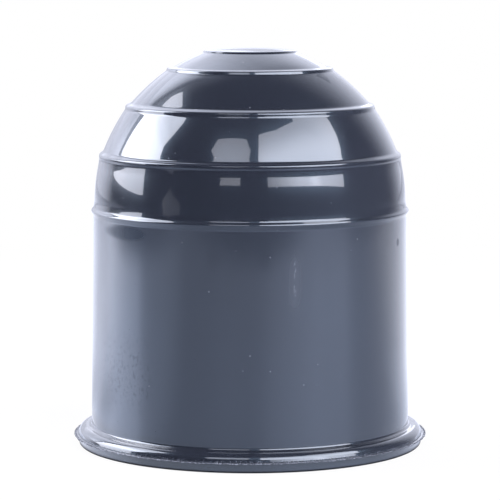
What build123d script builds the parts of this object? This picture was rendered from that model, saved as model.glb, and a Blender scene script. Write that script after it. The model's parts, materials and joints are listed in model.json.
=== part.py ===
from build123d import *

import math
import os

# Tow ball cover: one hollow moulding of glossy black PVC that slips over a
# coupling ball. A drafted skirt stands on a rolled rim and carries a dome of
# bands that step inwards between raised ridges. Everything is turned about
# +Z, with the origin at the middle of the rim's flat underside.
# Lengths are in millimetres and angles in degrees.

# The ball, and the room left round it
BALL_DIAMETER = 50.0
BALL_CLEARANCE = 0.2

# Skirt: its wall is measured at the top, and its outside widens downwards
SKIRT_WALL = 1.8
SKIRT_DRAFT = 0.6
SPRING_HEIGHT = 40.4
MOUTH_CHAMFER = 0.6

# Dome: the ridges stand at these angles above the spring line, on a curve
# that rises a little higher than a sphere would
RIDGE_ANGLES = (0.0, 20.3, 40.3, 59.7, 74.0)
RIDGE_WIDTH = 1.0
RIDGE_HEIGHT = 0.46
SPRING_PROUD = 0.27
DOME_STRETCH = 1.4
BAND_RADIUS = 50.0

# Flare: the first band leans in from the spring ridge before it bulges
FLARE_DEPTH = 0.05
FLARE_HEIGHT = 1.0

# Crown: a low cone with a flat land where the mould was fed
CROWN_RISE = 0.48
GATE_RADIUS = 2.5

# Rim: a rolled lip with a thin moulding flash at its parting line
PARTING_HEIGHT = 1.85
RIM_OVERHANG = 2.36
RIM_ROUND = 1.25
RIM_TAPER = 6.0
RIM_CHAMFER = 0.35
COVE_HEIGHT = 0.85
FLASH_REACH = 0.75
FLASH_ROOT = 0.25

# Worked out from the driving dimensions
BORE_RADIUS = BALL_DIAMETER / 2 + BALL_CLEARANCE
SKIRT_TOP_RADIUS = BORE_RADIUS + SKIRT_WALL
DOME_REACH = SKIRT_TOP_RADIUS + SPRING_PROUD - RIDGE_HEIGHT


def skirt_at(height):
    """Point on the outside of the drafted skirt at a height."""
    return (SKIRT_TOP_RADIUS + (SPRING_HEIGHT - height) * math.tan(math.radians(SKIRT_DRAFT)), height)


def on_dome(angle, distance, along=0.0):
    """Point at a distance from the dome's centre, moved along the dome's slope."""
    turn = math.radians(angle)
    across = distance * math.cos(turn) - along * math.sin(turn)
    up = distance * math.sin(turn) + along * math.cos(turn)
    return (across, SPRING_HEIGHT + up)


def ridge(angle):
    """Lower foot, crest and upper foot of a ridge."""
    reach = DOME_REACH + DOME_STRETCH * angle / 90
    lower = on_dome(angle, reach, -RIDGE_WIDTH / 2)
    crest = on_dome(angle, reach + RIDGE_HEIGHT)
    upper = on_dome(angle, reach, RIDGE_WIDTH / 2)
    return lower, crest, upper


def rim_corners():
    """Corners outside the rim, from its flat underside up to the skirt."""
    top = PARTING_HEIGHT + RIM_ROUND
    radius = skirt_at(top)[0] + RIM_OVERHANG
    foot_radius = radius - PARTING_HEIGHT * math.tan(math.radians(RIM_TAPER))
    shoulder = RIM_ROUND * math.sqrt(0.5)
    return [
        (foot_radius - RIM_CHAMFER, 0),
        (foot_radius, RIM_CHAMFER),
        (radius, PARTING_HEIGHT - FLASH_ROOT / 2),
        (radius + FLASH_REACH, PARTING_HEIGHT),
        (radius, PARTING_HEIGHT + FLASH_ROOT / 2),
        (radius - RIM_ROUND + shoulder, PARTING_HEIGHT + shoulder),
        (radius - RIM_ROUND, top),
        skirt_at(top + COVE_HEIGHT),
    ]


def inner_corners():
    """Corners inside the dome, between straight bands that touch the ball's room at their middles."""
    middles = [(low + high) / 2 for low, high in zip(RIDGE_ANGLES[:-1], RIDGE_ANGLES[1:])]
    touching = [0.0, *middles, 90.0]
    corners = []
    for low, high in zip(touching[:-1], touching[1:]):
        half_turn = math.radians((high - low) / 2)
        corners.append(on_dome((low + high) / 2, BORE_RADIUS / math.cos(half_turn)))
    return corners


def half_section():
    """Section of the moulding on one side of its axis, as X and height."""
    spring, *ridges, top_ridge = [ridge(angle) for angle in RIDGE_ANGLES]
    spring_foot = skirt_at(SPRING_HEIGHT - SPRING_PROUD * RIDGE_WIDTH / 2 / RIDGE_HEIGHT)
    flare = (spring[2][0] - FLARE_DEPTH, spring[2][1] + FLARE_HEIGHT)
    crown_height = top_ridge[1][1] + CROWN_RISE
    with BuildLine() as outline:
        Polyline(
            (BORE_RADIUS, MOUTH_CHAMFER),
            (BORE_RADIUS + MOUTH_CHAMFER, 0),
            *rim_corners(),
            spring_foot,
            spring[1],
            spring[2],
            flare,
        )
        foot = flare
        for lower, crest, upper in ridges:
            RadiusArc(foot, lower, -BAND_RADIUS)
            Polyline(lower, crest, upper)
            foot = upper
        Polyline(
            foot,
            top_ridge[0],
            top_ridge[1],
            (GATE_RADIUS, crown_height),
            (0, crown_height),
            (0, SPRING_HEIGHT + BORE_RADIUS),
            *reversed(inner_corners()),
            (BORE_RADIUS, MOUTH_CHAMFER),
        )
    return make_face(outline.line)


if __name__ == "__main__":
    os.makedirs("parts", exist_ok=True)
    cover = revolve(Plane.XZ * half_section(), axis=Axis.Z)
    export_step(cover, "parts/cover.step")
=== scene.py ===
import json
import math

import bmesh
import bpy
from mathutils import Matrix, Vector


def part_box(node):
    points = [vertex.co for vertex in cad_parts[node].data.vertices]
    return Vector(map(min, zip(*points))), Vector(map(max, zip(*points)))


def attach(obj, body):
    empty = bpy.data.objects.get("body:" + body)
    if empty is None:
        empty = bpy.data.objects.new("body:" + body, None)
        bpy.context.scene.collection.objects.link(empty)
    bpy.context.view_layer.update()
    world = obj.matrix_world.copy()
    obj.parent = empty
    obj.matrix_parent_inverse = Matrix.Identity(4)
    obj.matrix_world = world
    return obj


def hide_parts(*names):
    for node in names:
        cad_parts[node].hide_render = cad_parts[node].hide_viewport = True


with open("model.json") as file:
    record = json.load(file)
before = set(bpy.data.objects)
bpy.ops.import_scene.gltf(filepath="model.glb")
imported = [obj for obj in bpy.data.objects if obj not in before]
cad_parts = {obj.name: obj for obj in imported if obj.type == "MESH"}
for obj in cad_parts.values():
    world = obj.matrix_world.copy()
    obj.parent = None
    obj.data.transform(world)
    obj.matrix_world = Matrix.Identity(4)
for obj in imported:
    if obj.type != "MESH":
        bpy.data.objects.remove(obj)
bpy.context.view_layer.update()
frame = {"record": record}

bl_info = {
    "name": "Tow Ball Cover",
    "version": (1, 0, 0),
    "blender": (4, 5, 0),
    "location": "3D View > Sidebar > Tow Ball Cover",
    "description": "Models a glossy ridged cover for a coupling ball, with its flash, finish and stage",
    "category": "Object",
}

# Lengths are in metres, and those written in millimetres are multiplied by MM.
MM = 0.001
CAD_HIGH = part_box("cover")[1]
BALL_BORE = next(m for m in frame["record"]["mounts"] if m["name"] == "ball_bore")
PVC_COLOUR = frame["record"]["materials"][0]["base_color"]


def length(name, description, millimetres):
    """A length that the user can change, given here in millimetres."""
    return bpy.props.FloatProperty(
        name=name,
        description=description,
        default=millimetres * MM,
        precision=5,
        unit="LENGTH",
        subtype="DISTANCE",
    )


def angle(name, description, degrees):
    """An angle that the user can change, given here in degrees."""
    return bpy.props.FloatProperty(
        name=name, description=description, default=math.radians(degrees), subtype="ANGLE"
    )


def amount(name, description, value):
    """A plain number that the user can change."""
    return bpy.props.FloatProperty(name=name, description=description, default=value, precision=3)


def share(name, description, value):
    """A number from nothing to all."""
    return bpy.props.FloatProperty(
        name=name, description=description, default=value, min=0.0, max=1.0, subtype="FACTOR"
    )


def colour(name, description, value):
    """A colour that the user can change."""
    return bpy.props.FloatVectorProperty(
        name=name, description=description, default=value, size=3, min=0.0, max=1.0, subtype="COLOR"
    )


class CoverSizes(bpy.types.PropertyGroup):
    """Sizes of the moulding."""

    bore_radius: length("Bore radius", "Inside of the skirt and of the dome", BALL_BORE["dims"]["r_mm"])
    skirt_wall: length("Skirt wall", "Thickness of the skirt at the spring line", 1.8)
    skirt_draft: angle("Skirt draft", "Lean of the outside of the skirt", 0.6)
    spring_height: length("Spring height", "Height at which the dome starts", 40.4)
    dome_reach: length("Dome reach", "From the dome's centre to the middle of the lowest ridge", 26.82)
    dome_stretch: length("Dome stretch", "How much further out the crown is than the lowest ridge", 1.4)
    band_radius: length("Band radius", "Bulge of the bands between the ridges", 37.0)
    mouth_round: length("Mouth round", "Soft edge at the open mouth", 0.6)
    parting_height: length("Parting height", "Height of the parting line on the rim", 1.85)
    rim_overhang: length("Rim overhang", "How far the rim stands out from the skirt", 2.35)
    rim_face: length("Rim face", "Height of the leaning face over the rim's parting line", 0.4)
    rim_lean: angle("Rim lean", "Lean of the face over the rim's parting line", 17.0)
    rim_round: length("Rim round", "Roundness of the top of the rim", 1.41)
    rim_taper: angle("Rim taper", "Lean of the rim below its parting line", 6.0)
    rim_edge: length("Rim edge", "Soft edge under the rim", 0.55)
    cove: length("Cove", "Hollow between the rim and the skirt", 0.55)
    flash_root: length("Flash root", "Thickness of the flash where it leaves the rim", 0.16)
    flash_tip: length("Flash tip", "Thickness of the flash at its edge", 0.05)
    flash_reach: length("Flash reach", "How far the flash stands out from the rim", 0.72)
    flash_drop: length("Flash drop", "How far the flash lies under the parting line", 0.15)
    flash_tear: length("Flash tear", "How far the edge of the flash is torn back", 0.34)


class CoverFinish(bpy.types.PropertyGroup):
    """Colours and wear of the moulding."""

    pvc: colour("PVC", "Blue-black of the moulding", PVC_COLOUR)
    dust: colour("Dust", "Pale specks that lie on it", (0.30, 0.31, 0.34))
    stressed: colour("Stressed PVC", "Paler plastic at torn edges", (0.36, 0.38, 0.44))
    roughness: share("Roughness", "Roughness under the gloss", 0.22)
    gloss_roughness: share("Gloss roughness", "Roughness of the glossy skin", 0.03)
    scuffing: share("Scuffing", "How strongly the scuffs along the parting line show", 0.45)
    pitting: share("Pitting", "How dull the fine pits low on the skirt are", 0.32)
    rub_haze: share("Rub haze", "How much dust lies round the rub streak", 0.035)
    rub_flecks: share("Rub flecks", "How much dust lies in the rub streak", 0.2)
    blemish: share("Blemish", "How dull the small blemish on the skirt is", 0.75)
    smudge: share("Smudge", "How dull the smudge under the lowest ridge is", 0.8)


class CoverStage(bpy.types.PropertyGroup):
    """Camera, floor and lamps."""

    lamp_tint: colour("Lamp tint", "Cool white of the lamps", (0.90, 0.90, 1.0))
    table_sheen: colour("Table sheen", "White of the table as the gloss shows it", (0.55, 0.62, 0.80))
    table_far: colour("Far table", "White of the table behind the cover in the gloss", (0.86, 0.88, 1.0))
    table_polish: colour("Table polish", "How the table mirrors the lamps at a low angle", (0.47, 0.51, 0.58))
    backdrop: colour("Backdrop", "White of the backdrop as the gloss shows it", (0.82, 0.85, 1.0))
    dark_room: colour("Dark room", "Unlit room in front of the cover", (0.012, 0.013, 0.016))
    dim_room: colour("Dim room", "Dimly lit room to the right of the cover", (0.14, 0.15, 0.20))
    camera_distance: length("Camera distance", "From the cover's axis to the camera", 481.13)
    camera_height: length("Camera height", "From the floor to the camera", 89.68)
    camera_pitch: angle("Camera pitch", "How far the camera looks down", 6.678)
    camera_lens: amount("Camera lens", "Focal length in millimetres", 202.28)


def new_plane(name):
    """Adds a plane at the origin and opens it in edit mode with everything selected."""
    bpy.ops.object.select_all(action="DESELECT")
    bpy.ops.mesh.primitive_plane_add(size=1.0, location=(0, 0, 0))
    plane = bpy.context.object
    plane.name = name
    bpy.ops.object.mode_set(mode="EDIT")
    bpy.ops.mesh.select_all(action="SELECT")
    return plane


SAME_PLACE = 1e-7
WELD = 0.5e-6
BEVEL_LIMIT = 0.98  # share of the edges beside a corner that its bevel may take up


class Wire:
    """A half section, drawn as a chain of edges that is then turned about the axis."""

    def __init__(self, name, start):
        self.piece = new_plane(name)
        self.piece.data.name = name
        bpy.ops.mesh.merge(type="CENTER")
        bpy.ops.transform.translate(value=(start[0], 0, start[1]))
        self.end = start

    def to(self, *points):
        """Extrudes the chain to each point in turn."""
        for point in points:
            step = (point[0] - self.end[0], 0, point[1] - self.end[1])
            if math.hypot(step[0], step[2]) > SAME_PLACE:
                bpy.ops.mesh.extrude_region_move(TRANSFORM_OT_translate={"value": step})
                self.end = point

    def straight(self, point, steps):
        """Extrudes the chain along a straight line in equal steps."""
        start = self.end
        for step in range(1, steps + 1):
            part = step / steps
            self.to((start[0] + (point[0] - start[0]) * part, start[1] + (point[1] - start[1]) * part))

    def arc(self, centre, radius, first, last, steps):
        """Extrudes the chain round an arc, from one angle to another."""
        for step in range(steps + 1):
            turn = first + (last - first) * step / steps
            self.to((centre[0] + radius * math.cos(turn), centre[1] + radius * math.sin(turn)))

    def round(self, corner, radius, segments):
        """Bevels the corner at a place to a radius."""
        mesh = bmesh.from_edit_mesh(self.piece.data)
        place = Vector((corner[0], 0, corner[1]))
        vert = min(mesh.verts, key=lambda v: (v.co - place).length)
        arms = [edge.other_vert(vert).co - vert.co for edge in vert.link_edges]
        setback = radius / math.tan(arms[0].angle(arms[1]) / 2)
        setback = min(setback, BEVEL_LIMIT * min(arm.length for arm in arms))
        bpy.ops.mesh.select_all(action="DESELECT")
        vert.select = True
        mesh.select_flush_mode()
        bmesh.update_edit_mesh(self.piece.data)
        bpy.ops.mesh.bevel(
            affect="VERTICES", offset_type="OFFSET", offset=setback, segments=segments, profile=0.5
        )

    def spin(self, steps):
        """Turns the chain once about the axis and closes its seam and poles."""
        bpy.ops.mesh.select_all(action="SELECT")
        bpy.ops.mesh.spin(steps=steps, angle=2 * math.pi, center=(0, 0, 0), axis=(0, 0, 1))
        bpy.ops.mesh.select_all(action="SELECT")
        bpy.ops.mesh.remove_doubles(threshold=WELD)
        bpy.ops.mesh.normals_make_consistent(inside=False)
        bpy.ops.object.mode_set(mode="OBJECT")
        return self.piece


def between(start, end, radius):
    """Centre and the two angles of the outward arc from a lower point up to a higher one."""
    start, end = Vector(start), Vector(end)
    half = (end - start) / 2
    inward = Vector((-half.y, half.x)).normalized()
    centre = start + half + inward * math.sqrt(radius**2 - half.length_squared)
    low, high = start - centre, end - centre
    return centre, math.atan2(low.y, low.x), math.atan2(high.y, high.x)


class Slope:
    """One side of a ridge, as swells: how far each drops and runs in mm, and how early it falls away."""

    def __init__(self, *swells):
        self.swells = swells
        self.drop = sum(drop for drop, _, _ in swells) * MM
        self.run = max(run for _, run, _ in swells) * MM

    def rise(self, way):
        """Height over the band at a way from the crest."""
        height = 0.0
        for drop, run, fall in self.swells:
            part = max(0.0, 1 - way / (run * MM))
            height += drop * MM * ((1 - math.cos(math.pi * part)) / 2) ** fall
        return height


class Ridge:
    """One ridge: its angle above the spring line, how far its crest stands out, and its two sides."""

    def __init__(self, degrees, crest, below, above):
        self.turn = math.radians(degrees)
        self.crest = crest * MM
        self.below = below
        self.above = above


RIDGES = (
    Ridge(0.0, 0.45, Slope((0.27, 1.0, 1.6)), Slope((0.34, 0.82, 1.3), (0.16, 1.85, 1.0))),
    Ridge(20.3, 0.44, Slope((0.13, 0.9, 1.0), (0.12, 2.0, 1.0)), Slope((0.44, 1.02, 1.15))),
    Ridge(40.15, 0.40, Slope((0.27, 0.9, 1.7)), Slope((0.42, 1.3, 1.4))),
    Ridge(59.95, 0.43, Slope((0.27, 0.56, 1.0)), Slope((0.41, 1.25, 1.3))),
    Ridge(74.2, 0.47, Slope((0.20, 0.6, 1.2)), Slope((0.20, 0.6, 1.2))),
)
CREST_CLOSENESS = 1.5  # how much closer together the edges are at a crest

# How many edges each stretch of the half section is drawn with, and how many steps it turns in
INNER_TOP_STEPS = 4
INNER_BAND_STEPS = 3
BORE_STEPS = 6
MOUTH_STEPS = 6
RIM_EDGE_STEPS = 7
RIM_WALL_STEPS = 5
RIM_FACE_STEPS = 3
RIM_ROUND_STEPS = 22
COVE_STEPS = 14
SKIRT_STEPS = 16
RIDGE_STEPS = 20
BAND_STEPS = 14
CROWN_STEPS = 14
SHELL_TURN_STEPS = 192
FLASH_STEPS = 3
FLASH_TURN_STEPS = 900


def on_ridge(sizes, ridge, out):
    """Point at a ridge's angle, a way outside the dome's plain curve."""
    reach = sizes.dome_reach + sizes.dome_stretch * ridge.turn / math.radians(90) + out
    return (reach * math.cos(ridge.turn), sizes.spring_height + reach * math.sin(ridge.turn))


def band_points(sizes, under, over):
    """Points up a band, from the crest of the ridge under it to the crest of the ridge over it."""
    low = on_ridge(sizes, under, under.crest - under.above.drop)
    high = on_ridge(sizes, over, over.crest - over.below.drop)
    radius = sizes.band_radius
    centre, first, last = between(low, high, radius)
    run = radius * (last - first)
    lower_run, upper_run = under.above.run, over.below.run
    plain = run - lower_run - upper_run
    ways = [lower_run * (step / RIDGE_STEPS) ** CREST_CLOSENESS for step in range(RIDGE_STEPS)]
    ways += [lower_run + plain * step / BAND_STEPS for step in range(BAND_STEPS)]
    ways += [
        run - upper_run * (1 - step / RIDGE_STEPS) ** CREST_CLOSENESS for step in range(RIDGE_STEPS + 1)
    ]
    points = []
    for way in ways:
        at = first + way / radius
        lower, upper = under.above.rise(way), over.below.rise(run - way)
        across = radius * math.cos(at) + lower * math.cos(under.turn) + upper * math.cos(over.turn)
        up = radius * math.sin(at) + lower * math.sin(under.turn) + upper * math.sin(over.turn)
        points.append((centre[0] + across, centre[1] + up))
    return points


def skirt_radius(sizes, height):
    """Outside radius of the drafted skirt at a height."""
    top = sizes.bore_radius + sizes.skirt_wall
    return top + (sizes.spring_height - height) * math.tan(sizes.skirt_draft)


def rim_radius(sizes):
    """Outside radius of the rim at its parting line."""
    return skirt_radius(sizes, sizes.parting_height) + sizes.rim_overhang


def inner_corners(sizes):
    """Corners inside the dome, from the crown down to the bore."""
    turns = [ridge.turn for ridge in RIDGES]
    middles = [(low + high) / 2 for low, high in zip(turns[:-1], turns[1:])]
    touching = [0.0, *middles, math.radians(90)]
    corners = []
    for low, high in zip(touching[:-1], touching[1:]):
        reach = sizes.bore_radius / math.cos((high - low) / 2)
        turn = (low + high) / 2
        corners.append((reach * math.cos(turn), sizes.spring_height + reach * math.sin(turn)))
    return corners[::-1]


def pvc_piece(piece, material):
    """Fixes a finished piece to the cover's body and gives it the moulding's finish."""
    piece.data.materials.clear()
    piece.data.materials.append(material)
    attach(piece, "root")


class COVER_OT_shell(bpy.types.Operator):
    """Models the hollow moulding: bore, rim, skirt, ridged dome and crown"""

    bl_idname = "cover.shell"
    bl_label = "Model the Moulding"

    def execute(self, context):
        sizes = context.scene.cover_sizes
        wire = Wire("cover_shell", (0.0, sizes.spring_height + sizes.bore_radius))
        mouth = self.draw_inside(wire, sizes)
        foot, cove = self.draw_rim(wire, sizes)
        self.draw_skirt(wire, sizes, cove[1])
        for under, over in zip(RIDGES[:-1], RIDGES[1:]):
            wire.to(*band_points(sizes, under, over))
        self.draw_crown(wire)

        wire.round(mouth, sizes.mouth_round, MOUTH_STEPS)
        wire.round(foot, sizes.rim_edge, RIM_EDGE_STEPS)
        wire.round(cove, sizes.cove, COVE_STEPS)
        shell = wire.spin(SHELL_TURN_STEPS)
        bpy.ops.object.shade_smooth()
        pvc_piece(shell, pvc_material(context.scene.cover_finish, sizes))
        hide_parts("cover")
        return {"FINISHED"}

    def draw_inside(self, wire, sizes):
        """Draws the dome's inside and the bore down to the mouth's corner, which it hands back."""
        top, *others = inner_corners(sizes)
        wire.straight(top, INNER_TOP_STEPS)
        for corner in others:
            wire.straight(corner, INNER_BAND_STEPS)
        room = 2 * sizes.mouth_round
        mouth = (sizes.bore_radius, 0.0)
        wire.straight((sizes.bore_radius, room), BORE_STEPS)
        wire.to(mouth, (sizes.bore_radius + room, 0.0))
        return mouth

    def draw_rim(self, wire, sizes):
        """Draws the rim and hands back its lower corner and the one where it meets the skirt."""
        rim = rim_radius(sizes)
        foot = (rim - sizes.parting_height * math.tan(sizes.rim_taper), 0.0)
        face_top = (
            rim - sizes.rim_face * math.tan(sizes.rim_lean),
            sizes.parting_height + sizes.rim_face,
        )
        middle = (
            face_top[0] - sizes.rim_round * math.cos(sizes.rim_lean),
            face_top[1] - sizes.rim_round * math.sin(sizes.rim_lean),
        )
        top = middle[1] + sizes.rim_round
        cove = (skirt_radius(sizes, top), top)
        wire.to((foot[0] - 2 * sizes.rim_edge, 0.0), foot)
        wire.straight((rim, sizes.parting_height), RIM_WALL_STEPS)
        wire.straight(face_top, RIM_FACE_STEPS)
        wire.arc(middle, sizes.rim_round, sizes.rim_lean, math.pi / 2, RIM_ROUND_STEPS)
        wire.to(cove)
        return foot, cove

    def draw_skirt(self, wire, sizes, rim_top):
        """Draws the skirt from the rim up to the crest of the lowest ridge."""
        below = RIDGES[0].below
        low = rim_top + 1.5 * sizes.cove
        high = sizes.spring_height - below.run
        wire.to((skirt_radius(sizes, low), low))
        wire.straight((skirt_radius(sizes, high), high), SKIRT_STEPS)
        for step in range(1, RIDGE_STEPS):
            way = below.run * (1 - step / RIDGE_STEPS) ** CREST_CLOSENESS
            height = sizes.spring_height - way
            wire.to((skirt_radius(sizes, height) + below.rise(way), height))

    def draw_crown(self, wire):
        """Draws the low round crown from the top ridge's crest to the axis."""
        crest = wire.end
        apex = CAD_HIGH[2]
        rise = apex - crest[1]
        radius = (crest[0] ** 2 + rise**2) / (2 * rise)
        middle = (0.0, apex - radius)
        edge = math.atan2(crest[1] - middle[1], crest[0])
        wire.arc(middle, radius, edge, math.pi / 2, CROWN_STEPS)


TORN_EDGE = "torn_edge"
# Each tear: its name, its size in mm, its strength, its direction and the level that stays in place
TEARS = (
    ("long_tear", 2.6, 0.9, "NORMAL", 0.62),
    ("short_tear", 0.7, 0.5, "NORMAL", 0.62),
    ("ragged_edge", 0.45, 0.5, "Z", 0.5),
)
TEAR_DETAIL = 2
FLASH_SUNK = 0.4 * MM  # how deep in the rim the flash starts
FLASH_SHARPEST = math.radians(40)  # edges that turn less than this are smooth


class COVER_OT_flash(bpy.types.Operator):
    """Models the thin, torn flash along the rim's parting line"""

    bl_idname = "cover.flash"
    bl_label = "Model the Parting Flash"

    def execute(self, context):
        sizes = context.scene.cover_sizes
        rim = rim_radius(sizes)
        height = sizes.parting_height - sizes.flash_drop
        sunk = rim - FLASH_SUNK
        tip = rim + sizes.flash_reach
        root, edge = sizes.flash_root / 2, sizes.flash_tip / 2

        wire = Wire("parting_flash", (sunk, height - root))
        wire.to((rim, height - root))
        wire.straight((tip, height - edge), FLASH_STEPS)
        wire.to((tip, height + edge))
        wire.straight((rim, height + root), FLASH_STEPS)
        wire.to((sunk, height + root), (sunk, height - root))
        flash = wire.spin(FLASH_TURN_STEPS)

        outer = flash.vertex_groups.new(name=TORN_EDGE)
        for vert in flash.data.vertices:
            reach = math.hypot(vert.co.x, vert.co.y)
            outer.add([vert.index], max(0.0, (reach - rim) / sizes.flash_reach), "REPLACE")
        for name, size, strength, direction, middle in TEARS:
            texture = bpy.data.textures.new(name, "CLOUDS")
            texture.noise_scale = size * MM
            texture.noise_depth = TEAR_DETAIL
            tear = flash.modifiers.new(name, "DISPLACE")
            tear.texture = texture
            tear.texture_coords = "LOCAL"
            tear.vertex_group = TORN_EDGE
            tear.direction = direction
            tear.mid_level = middle
            tear.strength = strength * sizes.flash_tear
            bpy.ops.object.modifier_apply(modifier=tear.name)
        bpy.ops.object.shade_smooth_by_angle(angle=FLASH_SHARPEST)
        pvc_piece(flash, pvc_material(context.scene.cover_finish, sizes))
        return {"FINISHED"}


class Value:
    """A socket that takes part in plain arithmetic, adding a Math node for each step."""

    def __init__(self, shader, socket):
        self.shader = shader
        self.socket = socket

    def math(self, operation, *others, swap=False):
        terms = [*others, self] if swap else [self, *others]
        return self.shader.node("ShaderNodeMath", {"operation": operation}, dict(enumerate(terms)))

    def __add__(self, other):
        return self.math("ADD", other)

    def __sub__(self, other):
        return self.math("SUBTRACT", other)

    def __mul__(self, other):
        return self.math("MULTIPLY", other)

    def __truediv__(self, other):
        return self.math("DIVIDE", other)

    def __radd__(self, other):
        return self.math("ADD", other, swap=True)

    def __rsub__(self, other):
        return self.math("SUBTRACT", other, swap=True)

    def __rmul__(self, other):
        return self.math("MULTIPLY", other, swap=True)

    def __rtruediv__(self, other):
        return self.math("DIVIDE", other, swap=True)

    def __pow__(self, other):
        return self.math("POWER", other)

    def __neg__(self):
        return self.math("MULTIPLY", -1.0)

    def __abs__(self):
        return self.math("ABSOLUTE")

    def ramp(self, low, high):
        """Eases from 0 at low to 1 at high."""
        return self.shader.node(
            "ShaderNodeMapRange",
            {"interpolation_type": "SMOOTHSTEP"},
            {"Value": self, "From Min": low, "From Max": high, "To Min": 0.0, "To Max": 1.0},
        )

    def within(self, reach, soft):
        """0 from a reach on, easing to 1 over a soft edge inside it."""
        return (reach - self).ramp(0.0, soft)


# A Mix node's sockets for colours
MIX_FIRST, MIX_SECOND, MIX_RESULT = 6, 7, 2


class Shader:
    """A node tree that is filled node by node."""

    def __init__(self, owner):
        owner.use_nodes = True
        self.tree = owner.node_tree
        self.tree.nodes.clear()

    def node(self, kind, settings=None, sockets=None, output=0):
        """Adds a node, sets it up, fills its sockets and hands back one of its outputs."""
        node = self.tree.nodes.new(kind)
        for name, value in (settings or {}).items():
            setattr(node, name, value)
        for name, value in (sockets or {}).items():
            if isinstance(value, Value):
                self.tree.links.new(value.socket, node.inputs[name])
            else:
                node.inputs[name].default_value = value
        return Value(self, node.outputs[output]) if node.outputs else None

    def mix(self, share_of, first, second):
        """Mixes two colours."""
        return self.node(
            "ShaderNodeMix",
            {"data_type": "RGBA"},
            {"Factor": share_of, MIX_FIRST: first, MIX_SECOND: second},
            output=MIX_RESULT,
        )

    def noise(self, place, scale, detail):
        """Cloudy noise at a scale."""
        return self.node("ShaderNodeTexNoise", sockets={"Vector": place, "Scale": scale, "Detail": detail})

    def axes(self, place):
        """The three parts of a place."""
        return [self.node("ShaderNodeSeparateXYZ", sockets={0: place}, output=axis) for axis in "XYZ"]

    def ray(self, kind):
        """1 for rays of a kind."""
        return self.node("ShaderNodeLightPath", output=f"Is {kind} Ray")


def opaque(rgb):
    """A colour with its alpha."""
    return (*rgb, 1.0)


class Patch:
    """A patch on the skirt's front: its middle, its reach and its soft edges, across and up, in mm."""

    def __init__(self, middle, reach, soft):
        self.middle, self.reach, self.soft = ([v * MM for v in pair] for pair in (middle, reach, soft))

    def on(self, x, z):
        """1 in the patch and 0 outside it."""
        across = abs(x - self.middle[0]).within(self.reach[0], self.soft[0])
        return across * abs(z - self.middle[1]).within(self.reach[1], self.soft[1])


class Oval:
    """An oval spot on the skirt's front: its middle and reach, across and up, in mm, and its soft share."""

    def __init__(self, middle, reach, soft):
        self.middle, self.reach = ([v * MM for v in pair] for pair in (middle, reach))
        self.soft = soft

    def on(self, x, z):
        """1 in the spot and 0 outside it."""
        across = (x - self.middle[0]) / self.reach[0]
        up = (z - self.middle[1]) / self.reach[1]
        return (1 - across * across - up * up).ramp(0.0, self.soft)


# Places of the wear on the skirt, and how far in front of the axis the skirt's front half begins
PIT_PATCH = Patch((-20.5, 15.0), (6.0, 9.5), (4.0, 7.0))
RUB_HAZE = Patch((7.35, 31.0), (1.8, 7.0), (1.8, 6.0))
RUB_STREAK = Patch((7.35, 32.0), (0.3, 5.0), (0.25, 3.0))
BLEMISH = Oval((24.9, 35.9), (0.26, 0.75), 0.5)
SMUDGE = Oval((-20.7, 38.2), (4.2, 1.5), 0.8)
FRONT = (0.0, 2 * MM)

# Wear at the rim, as distances past the rim's radius and from its parting line
TORN_FROM, TORN_TO = 0.1 * MM, 0.5 * MM
RIM_FROM, RIM_TO = -1.2 * MM, -0.8 * MM
PARTING_WEAR = (0.4 * MM, 0.35 * MM)

# Sizes of the patterns, as waves per metre
CLOUD_SCALE = 55.0
WAVE_SCALE = 90.0
SPECK_SCALE = 900.0
PIT_SCALE = 1900.0
GRAIN_SCALE = 4600.0

SPECK_SIZE = (0.105, 0.06)  # reach and soft edge of a speck, measured in cells of its pattern
PIT_STRETCH = (1.0, 1.0, 0.7)

# Levels of a pattern at which a mark starts and is full
SPECK_PICK = (0.91, 1.0)
SCUFF_GRAIN = (0.45, 0.62)
PIT_GRAIN = (0.56, 0.63)
FLECK_GRAIN = (0.53, 0.7)
TORN_GRAIN = (0.47, 0.62)
PALE_GRAIN = (0.58, 0.7)
CLOUD_LEVELS = (0.3, 0.7)

# How strongly the marks at the rim and the cloudy gloss show
TORN_PLAIN = 0.08  # paleness of the torn edge between its grains
TORN_DULL = 0.85
# Paleness of the grains along the parting line, which are stressed plastic and partly painted glints
PALE_PARTING_AND_GLINTS = 0.5
CLOUD_ROUGH = 0.08
SCUFF_ROUGH = 0.3


def dust_specks(shader, place):
    """Small pale specks, one in some of the cells of a pattern."""
    cells = {"Vector": place, "Scale": SPECK_SCALE, "Randomness": 1.0}
    distance = shader.node("ShaderNodeTexVoronoi", sockets=cells, output="Distance")
    cell_colour = shader.node("ShaderNodeTexVoronoi", sockets=cells, output="Color")
    pick = shader.node("ShaderNodeSeparateColor", sockets={0: cell_colour})
    return distance.within(*SPECK_SIZE) * pick.ramp(*SPECK_PICK)


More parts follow.
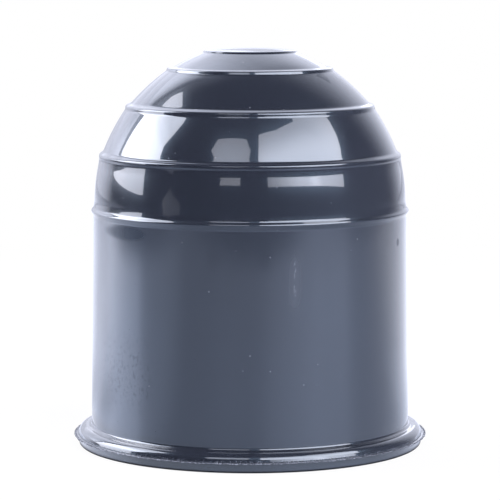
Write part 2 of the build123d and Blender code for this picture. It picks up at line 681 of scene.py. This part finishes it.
def pvc_material(finish, sizes):
    """Glossy blue-black PVC with dust, pits, a rub, a blemish, a smudge, scuffs, dull torn edges, and pale
    grains along the parting line that are partly painted glints.
    """
    found = bpy.data.materials.get("gloss_pvc")
    if found:
        return found
    material = bpy.data.materials.new("gloss_pvc")
    shader = Shader(material)
    place = shader.node("ShaderNodeTexCoord", output="Object")
    x, y, z = shader.axes(place)

    reach = (x * x + y * y) ** 0.5
    rim = rim_radius(sizes)
    torn = reach.ramp(rim + TORN_FROM, rim + TORN_TO)
    on_rim = reach.ramp(rim + RIM_FROM, rim + RIM_TO)
    by_parting = on_rim * abs(z - sizes.parting_height).within(*PARTING_WEAR)
    grain = shader.noise(place, GRAIN_SCALE, 1.0)
    scuff = by_parting * grain.ramp(*SCUFF_GRAIN) * finish.scuffing

    front = (-y).ramp(*FRONT)
    stretched = shader.node("ShaderNodeVectorMath", {"operation": "MULTIPLY"}, {0: place, 1: PIT_STRETCH})
    pit_grain = shader.noise(stretched, PIT_SCALE, 2.0)
    pits = front * PIT_PATCH.on(x, z) * pit_grain.ramp(*PIT_GRAIN)
    flecks = front * RUB_STREAK.on(x, z) * pit_grain.ramp(*FLECK_GRAIN)
    rubbed = finish.rub_haze * (front * RUB_HAZE.on(x, z)) + finish.rub_flecks * flecks
    blemish = front * BLEMISH.on(x, z)
    smudge = front * SMUDGE.on(x, z)

    tone = shader.mix(dust_specks(shader, place), opaque(finish.pvc), opaque(finish.dust))
    torn_grain = TORN_PLAIN + (1 - TORN_PLAIN) * grain.ramp(*TORN_GRAIN)
    tone = shader.mix(torn * torn_grain, tone, opaque(finish.stressed))
    # Paler grains along the parting line: stressed plastic, and also painted glints where small nicks there
    # catch the light
    tone = shader.mix(PALE_PARTING_AND_GLINTS * by_parting * grain.ramp(*PALE_GRAIN), tone, opaque(finish.stressed))
    tone = shader.mix(rubbed, tone, opaque(finish.dust))

    cloud = shader.node(
        "ShaderNodeTexNoise",
        sockets={"Vector": place, "Scale": CLOUD_SCALE, "Detail": 3.0, "Roughness": 0.55},
    )
    clouded = CLOUD_ROUGH * cloud.ramp(*CLOUD_LEVELS)
    rough = clouded + (finish.roughness - CLOUD_ROUGH / 2) + SCUFF_ROUGH * scuff
    wave = shader.noise(place, WAVE_SCALE, 1.0)
    bump = shader.node("ShaderNodeBump", sockets={"Strength": 0.06, "Distance": 0.5 * MM, "Height": wave})
    worn = scuff + finish.pitting * pits + finish.blemish * blemish + finish.smudge * smudge
    skin = shader.node(
        "ShaderNodeBsdfPrincipled",
        sockets={
            "Base Color": tone,
            "Roughness": rough,
            "IOR": 1.5,
            "Specular IOR Level": 0.38,
            "Specular Tint": (0.55, 0.80, 1.0, 1.0),
            "Coat Weight": 1 - worn,
            "Coat Roughness": finish.gloss_roughness,
            "Coat IOR": 1.6,
            "Normal": bump,
        },
    )
    dull = shader.node(
        "ShaderNodeBsdfPrincipled",
        sockets={"Base Color": tone, "Roughness": 0.6, "Specular IOR Level": 0.12},
    )
    surface = shader.node("ShaderNodeMixShader", sockets={0: TORN_DULL * torn, 1: skin, 2: dull})
    shader.node("ShaderNodeOutputMaterial", sockets={"Surface": surface})
    return material


LAMP_LEVEL = 45 * MM  # height of the middle of the lamps' ring, whose radius is one metre


def toward(bearing, elevation):
    """Place on the ring of lamps at a bearing and an elevation, in degrees.

    Bearings are taken from the camera's side, and are more to the right as they grow.
    """
    turn, lift = math.radians(bearing), math.radians(elevation)
    level = math.cos(lift)
    return Vector((level * math.sin(turn), -level * math.cos(turn), LAMP_LEVEL + math.sin(lift)))


def window(name, corners, fades, tint):
    """Hangs a glowing sheet between corners, whose glow changes along a bearing or up it."""
    sheet = new_plane(name)
    bpy.ops.mesh.merge(type="CENTER")
    places = [toward(*corner) for corner in corners]
    bpy.ops.transform.translate(value=places[0])
    for start, end in zip(places[:-1], places[1:]):
        bpy.ops.mesh.extrude_region_move(TRANSFORM_OT_translate={"value": end - start})
    bpy.ops.mesh.select_all(action="SELECT")
    bpy.ops.mesh.edge_face_add()
    bpy.ops.object.mode_set(mode="OBJECT")

    glow = bpy.data.materials.new(name)
    shader = Shader(glow)
    x, y, z = shader.axes(shader.node("ShaderNodeTexCoord", output="Object"))
    strength = 1.0
    for bearing, stops in fades:
        way = z
        if bearing is not None:
            way = x * math.cos(math.radians(bearing)) + y * math.sin(math.radians(bearing))
        level = stops[0][1]
        for (low, dim), (high, bright) in zip(stops[:-1], stops[1:]):
            level = level + way.ramp(low, high) * (bright - dim)
        strength = level * strength
    light = shader.node("ShaderNodeEmission", sockets={"Color": opaque(tint), "Strength": strength})
    shader.node("ShaderNodeOutputMaterial", sockets={"Surface": light})
    sheet.data.materials.append(glow)
    sheet.visible_camera = False


# Each window: its name, its tint, its corners as bearing and elevation, and its fades. A fade is a
# bearing to measure across, or None to measure up, and its stops as a place in metres and a strength.
WINDOWS = (
    (
        "left_window", "lamp_tint",
        ((-122, 4.2), (-126, 5.3), (-124.6, 15), (-125, 24), (-125, 33), (-125.5, 41), (-79, 41),
         (-82, 34), (-80.4, 30), (-86, 13), (-84.3, 3.5), (-88, 3), (-94, 3.1), (-102.3, 3.2),
         (-111.2, 3.5), (-118.3, 3.8)),
        (
            (None, ((0.13, 5.6), (0.28, 7.2), (0.45, 12), (0.55, 11.5), (0.63, 8.6), (0.7, 6.8))),
            (-125, ((0.0, 0.8), (0.2, 1.0))),
        ),
    ),
    (
        "left_top_window", "lamp_tint",
        ((-125.5, 41), (-128.5, 44.5), (-126.6, 50.4), (-109.6, 53.5), (-80, 53), (-78, 47), (-79, 41)),
        ((-125, ((0.0, 5.3), (0.25, 5.7), (0.45, 7.2))),),
    ),
    (
        "right_low_window", "lamp_tint",
        ((13, 12.6), (37.6, 11.9), (73.1, 8.1), (75.5, 19.5), (45, 23), (13.5, 24)),
        (
            (0, ((0.21, 2.5), (0.3, 3.3), (0.385, 4.6), (0.47, 6.2), (0.52, 7.2), (0.58, 7.4),
                 (0.66, 10.0), (0.74, 7.2), (0.95, 5.8))),
        ),
    ),
    (
        "right_high_window", "lamp_tint",
        ((7.5, 24), (45, 23), (80, 20), (82.5, 29.8), (84.4, 31.1), (88.9, 36.6), (92.7, 43.3),
         (88, 54), (62, 60), (53.5, 55), (30, 54.2), (9.4, 52.9), (8.4, 47.9), (7.4, 40.3)),
        ((None, ((0.58, 8.1), (0.84, 4.1))),),
    ),
    (
        "middle_low_window", "lamp_tint",
        ((-22.4, 13.25), (-7, 13.55), (-7.2, 16.7), (-22, 15.5)),
        ((None, ((0.3, 2.5),)),),
    ),
    (
        "middle_high_window", "lamp_tint",
        ((-31, 29), (-1, 29), (-0.5, 40.3), (0.6, 44.2), (-3.6, 50.6), (-32.8, 48.6), (-36, 41.8),
         (-32, 39)),
        ((None, ((0.6, 3.7), (0.83, 2.9))),),
    ),
    (
        "drop_window", "lamp_tint",
        ((-60.5, 9.5), (-58.5, 6.5), (-51.5, 2.5), (-51, 0), (-54, -2.3), (-59, -2.8), (-64, -2),
         (-66.5, 0.5), (-66, 3), (-62.5, 6.5)),
        ((-60, ((-0.08, 0.75), (-0.02, 0.45), (0.1, 0.4))),),
    ),
    (
        "rear_low_window", "backdrop",
        ((-119, -3), (-190, -3), (-190, 7.8), (-127, 8)),
        (
            (-126, ((-0.9, 1.1), (-0.8, 1.2), (-0.7, 1.4), (-0.6, 1.0), (-0.45, 1.2), (-0.36, 1.5),
                    (-0.25, 1.75), (-0.14, 1.8), (-0.04, 1.4), (0.04, 0.6), (0.1, 0.2))),
            (None, ((0.03, 0.8), (0.12, 1.0))),
        ),
    ),
    (
        "rear_middle_window", "backdrop",
        ((-127, 8), (-190, 7.8), (-196, 18), (-128.5, 18)),
        (
            (-127, ((-0.85, 2.8), (-0.765, 2.8), (-0.74, 0.95), (-0.705, 0.95), (-0.68, 2.3),
                    (-0.55, 1.6), (-0.4, 1.6), (-0.28, 1.9), (-0.185, 2.3), (-0.13, 2.85),
                    (-0.073, 3.5), (-0.012, 4.2))),
        ),
    ),
    (
        "rear_upper_window", "backdrop",
        ((-128.5, 18), (-196, 18), (-202, 27), (-131.5, 27)),
        ((-130, ((-0.9, 1.75), (-0.6, 1.75), (-0.465, 2.0), (-0.36, 2.15), (-0.1, 2.2), (-0.02, 3.2))),),
    ),
    (
        "rear_high_window", "backdrop",
        ((-132.5, 27), (-202, 27), (-214, 34), (-214, 56), (-180, 66), (-133, 62)),
        (
            (-132, ((-0.4, 1.85), (-0.312, 2.2), (-0.262, 2.6), (-0.211, 3.0), (-0.16, 3.2),
                    (-0.12, 2.9), (-0.075, 2.1), (-0.04, 0.5), (-0.015, 0.05))),
            (None, ((0.6, 1.0), (0.9, 0.8))),
            (-214, ((0.0, 0.3), (0.2, 1.0))),
        ),
    ),
)

# The table's size and middle, and where its look changes, in metres from the cover's axis. A pair
# is where a change starts and ends, or a reach and its soft edge where within uses it.
TABLE_SIZE = (1.5, 6.48, 1.0)
TABLE_MIDDLE = (-0.25, 2.76, 0.0)
FOOT = (0.055, 0.015)
TOE = (0.042, 0.008)
CLOSE_BY = (0.07, 0.16)
# Ring where the painted shadow under the rim fades out
PAINTED_SHADOW_RING = (CAD_HIGH[0] - 1.0 * MM, CAD_HIGH[0] + 0.4 * MM)
FAR_SIDE = (-0.05, 0.15)
LEFT_FOOT = (0.0, 0.02)
REAR_FOOT = (0.0, 0.02)
FRONT_HALF = (0.05, 0.25)
FRONT_END = (0.30, 0.46)
LEFT_END = (0.29, 0.42)
RIGHT_END = (0.36, 0.5)
FAR_LEFT = (0.42, 0.68)
DISTANCE = (0.3, 0.7)
REAR_CLOSE, REAR_OPEN = (0.0, 0.03), (0.05, 0.13)
SHADOW = (0.06, 0.3)

# The same for directions, as the sine or cosine of a bearing
LEFT_WAY = (0.65, 0.9)
RIGHT_WAY, REAR_WAY = (0.1, 0.4), (0.1, 0.5)

# How strong those changes are. The foot's whitening and the glows are painted light and the dimming is
# painted shade, on the table as the gloss shows it
FOOT_WHITE, FOOT_WHITE_LEFT = 0.3, 0.4
TOE_GLOW, TOE_GLOW_REAR = 0.42, 0.45
LEFT_GLOW = 0.55
RIGHT_GLOW, RIGHT_GLOW_CLOSE = 0.15, 0.24
DISTANCE_DIMMING = 0.6
END_DIMMING = 0.75
SHADOW_SHOWN = 0.07

# Each painted dark spot of shade on the table in the gloss: its bearing, its distance, its radius and its
# depth
PAINTED_DARK_SPOTS = ((10, 0.385, 0.06, 0.45), (-26, 0.375, 0.05, 0.25))

BLACK, WHITE = opaque((0.0, 0.0, 0.0)), opaque((1.0, 1.0, 1.0))
TABLE_GREY = opaque((0.8, 0.8, 0.8))
# Colour of the painted shadow under the rim, as the gloss shows the table
PAINTED_SHADOW_UNDER_RIM = opaque((0.02, 0.02, 0.02))

# Where the room's tones change, by the parts of a direction, and how strongly
LOW_RIGHT, LOW_RIGHT_TOP, LOW_RIGHT_FADE = (0.3, 1.0), (0.2, 0.55), 0.7
REAR, REAR_RISE, REAR_GLOW = (0.5, 0.97), 0.35, 0.25
UNDERNEATH = (0.05, 0.12)


def table_material(stage):
    """White to the camera, apart from a soft shadow, and a tinted, polished table top in the gloss, with a
    painted shadow under the rim, painted pools of light and painted shade toward its ends.
    """
    material = bpy.data.materials.new("white_table")
    shader = Shader(material)
    gloss_ray = shader.ray("Glossy")
    place = shader.node("ShaderNodeTexCoord", output="Object")
    away = shader.node("ShaderNodeVectorMath", {"operation": "LENGTH"}, {0: place}, output="Value")
    beside, behind, _ = shader.axes(place)
    foot, toe = away.within(*FOOT), away.within(*TOE)
    # Painted shadow: in the gloss the table goes dark under the rim and mirrors no lamps there
    outside_painted_shadow = away.ramp(*PAINTED_SHADOW_RING)

    # Painted shade: in the gloss the table dims toward its ends, far away and at the dark spots, toward the
    # dim room's colour
    near = 1 - (-beside).ramp(*FAR_LEFT)
    in_front = 1 - behind.ramp(*FRONT_HALF)
    lit = 1 - (-behind).ramp(*FRONT_END)
    lit = lit * (1 - (-beside).ramp(*LEFT_END) * in_front) * (1 - beside.ramp(*RIGHT_END))
    lit = lit * near * (1 - DISTANCE_DIMMING * away.ramp(*DISTANCE))
    for bearing, distance, radius, depth in PAINTED_DARK_SPOTS:
        aside = beside - distance * math.sin(math.radians(bearing))
        before = behind + distance * math.cos(math.radians(bearing))
        lit = lit * (1 - depth * ((aside * aside + before * before) ** 0.5).within(radius, radius))

    far = behind.ramp(*FAR_SIDE)
    # Painted light: near the cover's foot the table turns whiter in the gloss, most on the left
    far = far + foot * (FOOT_WHITE + FOOT_WHITE_LEFT * (-beside).ramp(*LEFT_FOOT)) * (1 - far)
    tint = shader.mix(far, opaque(stage.table_sheen), opaque(stage.table_far))
    tint = shader.mix(END_DIMMING - END_DIMMING * lit, tint, opaque(stage.dim_room))
    tint = shader.mix(outside_painted_shadow, PAINTED_SHADOW_UNDER_RIM, tint)
    tint = shader.mix(gloss_ray, WHITE, tint)

    # Painted light: pools of glow on the table in the gloss, at the cover's toe, to its left, and to its
    # right behind it
    right_rear = (behind / away).ramp(*REAR_WAY) * (beside / away).ramp(*RIGHT_WAY)
    close_by = (1 - away.ramp(*CLOSE_BY)) * (1 - toe)
    painted_light_pools = toe * (TOE_GLOW + TOE_GLOW_REAR * behind.ramp(*REAR_FOOT))
    painted_light_pools = painted_light_pools + LEFT_GLOW * near * (1 - foot) * (-beside / away).ramp(*LEFT_WAY)
    painted_light_pools = painted_light_pools + right_rear * (RIGHT_GLOW * (1 - foot) + RIGHT_GLOW_CLOSE * close_by)
    glow = shader.node("ShaderNodeEmission", sockets={"Color": tint, "Strength": 1 + gloss_ray * painted_light_pools})

    grazing = shader.node("ShaderNodeFresnel", sockets={"IOR": 1.45})
    bare = 1 - behind.ramp(*REAR_CLOSE) * (1 - away.ramp(*REAR_OPEN))
    polish = shader.mix(gloss_ray * outside_painted_shadow * lit * bare * grazing, BLACK, opaque(stage.table_polish))
    sheen = shader.node("ShaderNodeBsdfGlossy", sockets={"Color": polish, "Roughness": 0.42})
    shown = shader.node("ShaderNodeAddShader", sockets={0: glow, 1: sheen})
    matt = shader.node("ShaderNodeBsdfDiffuse", sockets={"Color": TABLE_GREY})
    unshaded = (1 - SHADOW_SHOWN) + SHADOW_SHOWN * away.ramp(*SHADOW)
    seen = shader.ray("Camera") * unshaded + gloss_ray + shader.ray("Transmission")
    surface = shader.node("ShaderNodeMixShader", sockets={0: seen, 1: matt, 2: shown})
    shader.node("ShaderNodeOutputMaterial", sockets={"Surface": surface})
    return material


class COVER_OT_stage(bpy.types.Operator):
    """Sets up the floor, the lamps, the surroundings and the camera"""

    bl_idname = "cover.stage"
    bl_label = "Set Up the Stage"

    def execute(self, context):
        stage = context.scene.cover_stage
        self.floor(stage)
        self.surroundings(context.scene, stage)
        for name, tint, corners, fades in WINDOWS:
            window(name, corners, fades, getattr(stage, tint))

        camera = bpy.data.cameras.new("camera")
        camera.lens = stage.camera_lens
        camera.clip_start = 10 * MM
        tripod = bpy.data.objects.new("camera", camera)
        context.collection.objects.link(tripod)
        tripod.location = (0.0, -stage.camera_distance, stage.camera_height)
        tripod.rotation_euler = (math.pi / 2 - stage.camera_pitch, 0.0, 0.0)
        context.scene.camera = tripod
        context.scene.view_settings.view_transform = "Standard"
        return {"FINISHED"}

    def floor(self, stage):
        """Lays a white table top under the cover, which ends a little way in front of it."""
        table = new_plane("table_top")
        bpy.ops.transform.resize(value=TABLE_SIZE)
        bpy.ops.transform.translate(value=TABLE_MIDDLE)
        bpy.ops.object.mode_set(mode="OBJECT")
        table.data.materials.append(table_material(stage))

    def surroundings(self, scene, stage):
        """White all round for the camera, and a dark room in front of the cover for its gloss."""
        world = bpy.data.worlds.new("studio")
        scene.world = world
        shader = Shader(world)
        side, back, up = shader.axes(shader.node("ShaderNodeTexCoord", output="Generated"))
        camera_ray = shader.ray("Camera")
        low_right = side.ramp(*LOW_RIGHT) * (1 - LOW_RIGHT_FADE * up.ramp(*LOW_RIGHT_TOP))
        room = shader.mix(low_right, opaque(stage.dark_room), opaque(stage.dim_room))
        rear = (back + REAR_RISE * up).ramp(*REAR)
        around = shader.mix(rear, room, opaque(stage.backdrop))
        around = shader.mix((-up).ramp(*UNDERNEATH), around, opaque(stage.dim_room))
        tone = shader.mix(camera_ray, around, WHITE)
        strength = 1 + REAR_GLOW * rear * (1 - camera_ray)
        sky = shader.node("ShaderNodeBackground", sockets={"Color": tone, "Strength": strength})
        shader.node("ShaderNodeOutputWorld", sockets={"Surface": sky})


class COVER_PT_panel(bpy.types.Panel):
    """Lists the steps that make the cover"""

    bl_idname = "COVER_PT_panel"
    bl_label = "Tow Ball Cover"
    bl_space_type = "VIEW_3D"
    bl_region_type = "UI"
    bl_category = "Tow Ball Cover"

    def draw(self, context):
        for operator in STEPS:
            self.layout.operator(operator.bl_idname)
        for group in SETTINGS:
            box = self.layout.box()
            settings = getattr(context.scene, group)
            for name in settings.__annotations__:
                box.prop(settings, name)


SETTINGS = {"cover_sizes": CoverSizes, "cover_finish": CoverFinish, "cover_stage": CoverStage}
STEPS = (COVER_OT_shell, COVER_OT_flash, COVER_OT_stage)


def register():
    for group in SETTINGS.values():
        bpy.utils.register_class(group)
    for name, group in SETTINGS.items():
        setattr(bpy.types.Scene, name, bpy.props.PointerProperty(type=group))
    for operator in STEPS:
        bpy.utils.register_class(operator)
    bpy.utils.register_class(COVER_PT_panel)


def unregister():
    bpy.utils.unregister_class(COVER_PT_panel)
    for operator in reversed(STEPS):
        bpy.utils.unregister_class(operator)
    for name, group in SETTINGS.items():
        delattr(bpy.types.Scene, name)
        bpy.utils.unregister_class(group)


def main():
    register()
    bpy.ops.cover.shell()
    bpy.ops.cover.flash()
    bpy.ops.cover.stage()


if __name__ == "__main__":
    main()
